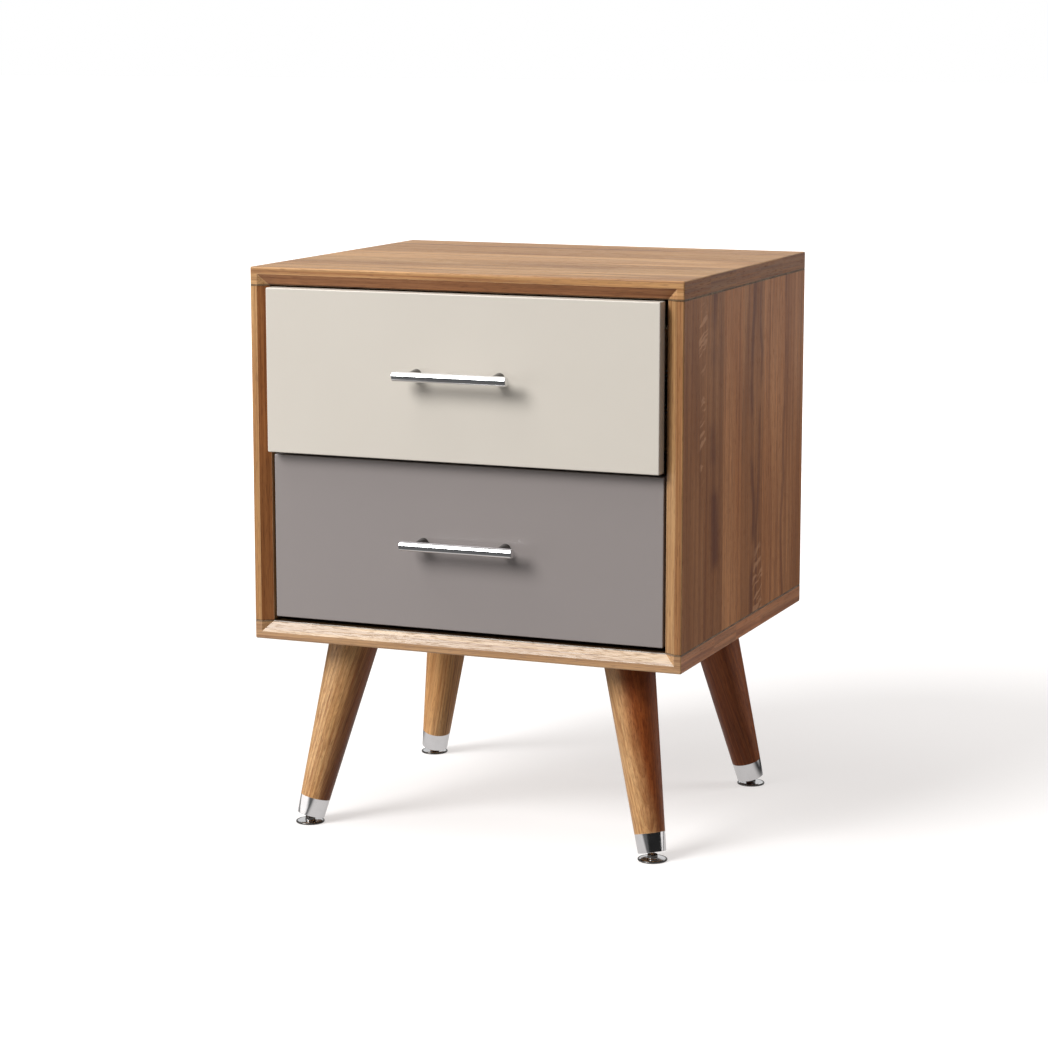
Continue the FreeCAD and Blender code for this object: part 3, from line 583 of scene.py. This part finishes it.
def glides(chrome, dark_metal_for_shade):
    """The round glides: a flat chrome top, with the rolled rim and the neck round the ball in dark metal
    that paints in their shade and dark reflections.
    """
    rim_height = 0.0022
    top_height = 0.0024
    roll = 0.0009
    undercut = 0.0014
    dip = 0.0002
    slope = 0.0008
    crease = 0.0004
    neck = 0.0056
    flare = 0.0012
    neck_edge = 0.0006
    mouth = 0.0036
    for corner in CORNERS:
        node = f"glide_{corner}"
        low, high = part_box(node)
        centre = (low + high) / 2
        rim = (high.x - low.x) / 2
        top = rim - 2.2 * roll
        outline = [(rim - undercut, 0.0)]
        outline += arc(rim - roll, roll, roll, -60, 0)
        outline += arc(rim - roll, rim_height - roll, roll, 0, 100)
        outline += [(top, rim_height - dip), (top - slope, top_height)]
        outline += [(top - slope - crease, top_height), (neck + flare + crease, top_height)]
        outline += arc(neck + flare, top_height + flare, flare, 270, 180)
        outline += arc(neck - neck_edge, high.z - neck_edge, neck_edge, 0, 90, 4)
        outline += [(mouth, high.z)]
        piece = turned(f"{node}_disc", outline, centre, body_of_node(node), chrome)
        piece.data.materials.append(dark_metal_for_shade)
        # Painted shade and dark reflections: the rim and the neck take the dark metal.
        for polygon in piece.data.polygons:
            out = math.hypot(polygon.center.x - centre.x, polygon.center.y - centre.y)
            if out > rim - 2 * roll or polygon.center.z > top_height + 0.5 * flare:
                polygon.material_index = 1
        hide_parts(node)


# ---- stage -------------------------------------------------------------------------------------------

# The camera, as angles in degrees, metres, and millimetres of lens and sensor.
CAMERA_AZIMUTH, CAMERA_ELEVATION = 22.096, 9.733
CAMERA_DISTANCE, PAN_RIGHT, PAN_UP = 3.3212, -0.01395, -0.09475
LENS, SENSOR = 100.39, 36.0

# The sky's glow for light on the object and in its gloss, as (low rise, high rise, glow above the high
# rise). A rise is 0 on the horizon and 1 straight up. Below the low rise the glow is LEVEL_GLOW.
DIFFUSE_SKY = (0.15, 1.0, 0.30)
GLOSSY_SKY = (0.12, 0.70, 0.58)
LEVEL_GLOW = 0.02

# The floor's tone for the camera, in gloss and for other light, and its glow, as (near, far, glow up to
# near, glow from far on) in metres from the middle.
SEEN_TONE, GLOSSY_TONE, DIFFUSE_TONE = 0.50, 0.12, 0.30
SEEN_GLOW = (0.9, 3.0, 0.58, 1.1)
GLOSSY_GLOW = (0.30, 0.42, 0.60, 0.0)
FLOOR_TINT = (1.0, 0.96, 0.94)
FLOOR_HALF = 40.0
FLOOR_DROP = 0.0002

# Pools of glow on the floor that only gloss sees: the ways to them from the middle and their glow, the
# distances between which they start, and how closely a way has to match.
GLOSSY_POOLS = ((-0.866, -0.50, 1.2), (0.94, 0.34, 0.9))
POOL_START = (0.42, 0.55)
POOL_MATCH = (0.86, 0.95)

# The key light is a sun: its way, its distance, its power in W/m2 and its spread in degrees.
LIT_POINT = Vector((0.0, 0.0, 0.35))
KEY_WAY = Vector((0.64, 1.0, -0.80)).normalized()
KEY_DISTANCE, KEY_POWER, KEY_SPREAD = 3.0, 3.2, 28.0

# Square lights that look at the lit point, as (name, place, watts, size, whether gloss sees it).
SQUARE_LIGHTS = (
    ("above", (-0.96, -0.70, 2.75), 26.0, 1.7, True),
    ("right", (2.4, 1.5, 1.7), 26.0, 1.5, False),
)

# Upright panels, as (name, place, the point they look at, watts, width, height).
PANELS = (
    ("behind", (-0.8, 3.6, 1.1), (-0.8, 0.0, 1.1), 20.0, 6.4, 2.1),
    ("left", (-2.3, -1.5, 0.58), (0.0, 0.0, 0.58), 13.0, 3.0, 1.12),
)


def add_light(name, kind, place, target, power, in_gloss=True):
    """A light that looks at a point, and may show in glossy surfaces."""
    light = bpy.data.lights.new(name, kind)
    light.energy = power
    holder = bpy.data.objects.new(name, light)
    holder.location = place
    holder.rotation_mode = "QUATERNION"
    holder.rotation_quaternion = (target - place).to_track_quat("-Z", "Y")
    holder.visible_camera = False
    holder.visible_glossy = in_gloss
    scene.collection.objects.link(holder)
    return light


def pick_by_ray(tree, ray, yes, no):
    """A number that is yes for one kind of ray and no for the others. Both may be sockets."""
    path = tree.nodes.new("ShaderNodeLightPath")
    pick = tree.nodes.new("ShaderNodeMix")
    tree.links.new(path.outputs[ray], pick.inputs[0])
    for socket, value in ((pick.inputs[2], no), (pick.inputs[3], yes)):
        if isinstance(value, bpy.types.NodeSocket):
            tree.links.new(value, socket)
        else:
            socket.default_value = value
    return pick.outputs[0]


def white_sky():
    """A sky that looks white, but lights the object and shows in its gloss much less."""
    world = bpy.data.worlds.new("white_room")
    world.use_nodes = True
    tree = world.node_tree
    background = tree.nodes["Background"]
    background.inputs["Color"].default_value = (1.0, 1.0, 1.0, 1.0)
    way = tree.nodes.new("ShaderNodeTexCoord")
    parts = tree.nodes.new("ShaderNodeSeparateXYZ")
    tree.links.new(way.outputs["Generated"], parts.inputs[0])
    glows = []
    for low, high, glow in (DIFFUSE_SKY, GLOSSY_SKY):
        rise = tree.nodes.new("ShaderNodeMapRange")
        tree.links.new(parts.outputs["Z"], rise.inputs["Value"])
        rise.inputs["From Min"].default_value = low
        rise.inputs["From Max"].default_value = high
        rise.inputs["To Min"].default_value = LEVEL_GLOW
        rise.inputs["To Max"].default_value = glow
        glows.append(rise.outputs[0])
    diffuse_glow, glossy_glow = glows
    unseen = pick_by_ray(tree, "Is Glossy Ray", glossy_glow, diffuse_glow)
    tree.links.new(pick_by_ray(tree, "Is Camera Ray", 1.0, unseen), background.inputs["Strength"])
    scene.world = world


def pale_floor():
    """A floor that looks nearly white, and shows darker in the object's gloss apart from some pools."""
    g = Graph("pale_floor")
    x, y, _ = g.parts(g.place())
    distance = g.math("SQRT", g.add(g.mul(x, x), g.mul(y, y)))
    seen_glow = g.spread(distance, *SEEN_GLOW)
    gloss_glow = g.spread(distance, *GLOSSY_GLOW)
    away = g.spread(distance, *POOL_START)
    for way_x, way_y, glow in GLOSSY_POOLS:
        towards = g.math("DIVIDE", g.add(g.mul(x, way_x), g.mul(y, way_y)), distance)
        pool = g.mul(away, g.spread(towards, *POOL_MATCH, 0.0, glow))
        gloss_glow = g.math("MAXIMUM", gloss_glow, pool)
    unseen_glow = pick_by_ray(g.tree, "Is Glossy Ray", gloss_glow, 0.0)
    unseen_tone = pick_by_ray(g.tree, "Is Glossy Ray", GLOSSY_TONE, DIFFUSE_TONE)
    g.finish_shader(
        Base_Color=pick_by_ray(g.tree, "Is Camera Ray", SEEN_TONE, unseen_tone),
        Roughness=1.0,
        Specular_IOR_Level=0.0,
        Emission_Color=FLOOR_TINT,
        Emission_Strength=pick_by_ray(g.tree, "Is Camera Ray", seen_glow, unseen_glow),
    )
    signs = ((-1, -1), (1, -1), (1, 1), (-1, 1))
    mesh = bpy.data.meshes.new("floor")
    mesh.from_pydata([(FLOOR_HALF * i, FLOOR_HALF * j, 0.0) for i, j in signs], [], [(0, 1, 2, 3)])
    mesh.materials.append(g.material)
    floor = bpy.data.objects.new("floor", mesh)
    floor.location.z = -FLOOR_DROP
    scene.collection.objects.link(floor)


def lights():
    """The key light is high on the front left. One hangs above, one is behind on the right, and panels
    stand on the left and behind."""
    key = add_light("key", "SUN", LIT_POINT - KEY_WAY * KEY_DISTANCE, LIT_POINT, KEY_POWER)
    key.angle = math.radians(KEY_SPREAD)
    for name, place, power, size, in_gloss in SQUARE_LIGHTS:
        add_light(name, "AREA", Vector(place), LIT_POINT, power, in_gloss).size = size
    for name, place, target, power, width, height in PANELS:
        panel = add_light(name, "AREA", Vector(place), Vector(target), power)
        panel.shape = "RECTANGLE"
        panel.size = width
        panel.size_y = height


def camera():
    """A camera on the front right, placed from the middle of the wooden case."""
    azimuth = math.radians(CAMERA_AZIMUTH)
    elevation = math.radians(CAMERA_ELEVATION)
    level = Vector((math.sin(azimuth), -math.cos(azimuth), 0.0))
    back = level * math.cos(elevation) + Vector((0.0, 0.0, math.sin(elevation)))
    right = Vector((math.cos(azimuth), math.sin(azimuth), 0.0))
    up = back.cross(right)
    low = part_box("bottom_board")[0]
    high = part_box("top_board")[1]
    lens = bpy.data.cameras.new("camera")
    lens.sensor_width = SENSOR
    lens.lens = LENS
    holder = bpy.data.objects.new("camera", lens)
    place = (low + high) / 2 + back * CAMERA_DISTANCE + right * PAN_RIGHT + up * PAN_UP
    holder.matrix_world = Matrix.Translation(place) @ Matrix((right, up, back)).transposed().to_4x4()
    scene.collection.objects.link(holder)
    scene.camera = holder


# ---- the nightstand ----------------------------------------------------------------------------------

camera()
white_sky()
pale_floor()
lights()

LOW_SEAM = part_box("bottom_board")[1].z
HIGH_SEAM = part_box("top_board")[0].z
give(board_wood("top_board", "X", [HIGH_SEAM], "Y"), "top_board")
give(board_wood("bottom_board", "X", [LOW_SEAM], "Y"), "bottom_board")
give(board_wood("left_side_board", "Z", [LOW_SEAM, HIGH_SEAM]), "left_side_board")
give(board_wood("right_side_board", "Z", [LOW_SEAM, HIGH_SEAM]), "right_side_board")
give(raw_wood("wood_back", (0.33, 0.19, 0.10), (0.22, 0.12, 0.06)), "back_board")
give(raw_wood("wood_dowels", (0.72, 0.56, 0.38), (0.58, 0.42, 0.27)), "case_dowels")
for corner in CORNERS:
    give(leg_wood(corner), f"leg_{corner}")

give(lacquer("cream_lacquer", (0.64, 0.59, 0.52), (0.615, 0.565, 0.495)), "upper_front")
give(lacquer("taupe_lacquer", (0.275, 0.243, 0.233), (0.26, 0.229, 0.221)), "lower_front")

box_sides = plywood("plywood_sides", "X")
box_ends = plywood("plywood_ends", "Y")
box_floor = plywood("plywood_floor", "Z")
for drawer in DRAWERS:
    give(box_sides, f"{drawer}_box_left", f"{drawer}_box_right")
    give(box_ends, f"{drawer}_box_front", f"{drawer}_box_back")
    give(box_floor, f"{drawer}_box_floor")

chrome = metal("chrome", CHROME, 0.04, 0.11)
chrome_bar = metal("chrome_bar", CHROME, 0.09, 0.15, "X")
# Painted light: a brighter copy of the chrome, so that the glides' tops read lighter.
glide_chrome = metal("glide_chrome", (0.92, 0.92, 0.93), 0.12, 0.20)
# Dark metal that paints shade and dark reflections onto the handle posts and the glides' rims and necks.
dark_metal_for_shade = metal("dark_metal_for_shade", (0.11, 0.105, 0.10), 0.15, 0.28)
for drawer in DRAWERS:
    give(chrome_bar, f"{drawer}_handle_bar")
    # Painted dark reflections: the posts take the dark metal.
    give(dark_metal_for_shade, f"{drawer}_handle_posts")
for corner in CORNERS:
    give(chrome, f"ferrule_{corner}")
glides(glide_chrome, dark_metal_for_shade)

zinc = metal("zinc_steel", ZINC, 0.22, 0.40)
rail_zinc = metal("rail_zinc", ZINC, 0.22, 0.40, "Y")
give(zinc, "back_board_screws", "leg_hanger_bolts", "glide_stems", "case_rail_screws")
give(metal("brass", (0.72, 0.53, 0.24), 0.2, 0.35), "leg_inserts")
for drawer in DRAWERS:
    give(zinc, f"{drawer}_handle_screws", f"{drawer}_front_screws")
    give(zinc, f"{drawer}_drawer_rail_screws", f"{drawer}_ball_cages")
    for side in ("left", "right"):
        for member in ("case", "middle", "drawer"):
            give(rail_zinc, f"{drawer}_{side}_{member}_rail")
